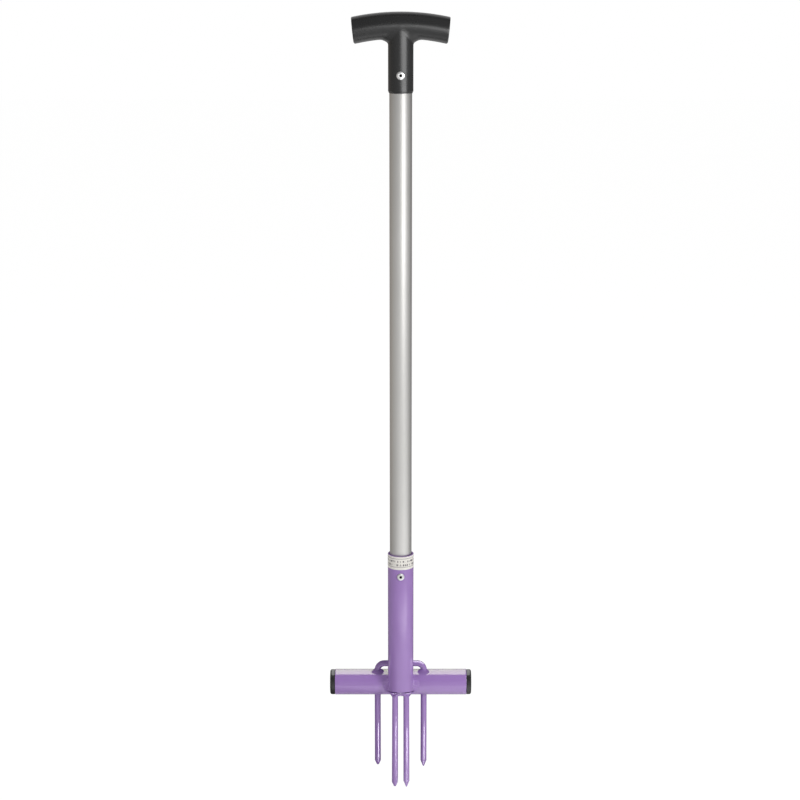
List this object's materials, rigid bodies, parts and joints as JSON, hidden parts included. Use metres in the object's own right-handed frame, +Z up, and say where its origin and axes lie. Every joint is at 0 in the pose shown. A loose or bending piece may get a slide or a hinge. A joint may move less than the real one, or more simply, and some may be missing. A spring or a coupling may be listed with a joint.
{
  "type": "lawn aerator fork",
  "caption": "Upright lawn aerator fork: T-handle on a tubular aluminium shaft riveted into a powder-coated steel head with a foot bar and round pointed tines.",
  "frame": {"origin": "level of the inner tine tips, on the tool's middle plane, midway between the shaft's axis and the foot bar's axis", "axes": "+Z up along the shaft to the T-handle, +X along the foot bar and the grip, +Y to the back, away from the rivet heads"},
  "size_m": [0.1862, 0.0565, 1.011],
  "materials": {
    "powder_coat": "glossy purple powder coat on steel",
    "shaft_aluminium": "satin anodised drawn tube",
    "handle_plastic": "black moulded polypropylene, fine texture",
    "cap_plastic": "black moulded polyethylene, semi-gloss",
    "rivet_aluminium": "bright set rivet",
    "mandrel_steel": "dark broken steel",
    "label_vinyl": "pale printed vinyl band, blank"
  },
  "bodies": {
    "root": {"t_handle": "handle_plastic", "shaft_tube": "shaft_aluminium", "handle_rivet_body": "rivet_aluminium", "handle_rivet_mandrel": "mandrel_steel", "socket": "powder_coat", "socket_label": "label_vinyl", "socket_rivet_body": "rivet_aluminium", "socket_rivet_mandrel": "mandrel_steel", "foot_bar": "powder_coat", "left_end_cap": "cap_plastic", "right_end_cap": "cap_plastic", "outer_tine_staple": "powder_coat", "inner_tine_hairpin": "powder_coat", "left_socket_weld": "powder_coat", "right_socket_weld": "powder_coat", "left_staple_weld": "powder_coat", "right_staple_weld": "powder_coat", "hairpin_weld": "powder_coat"}
  },
  "joints": []
}
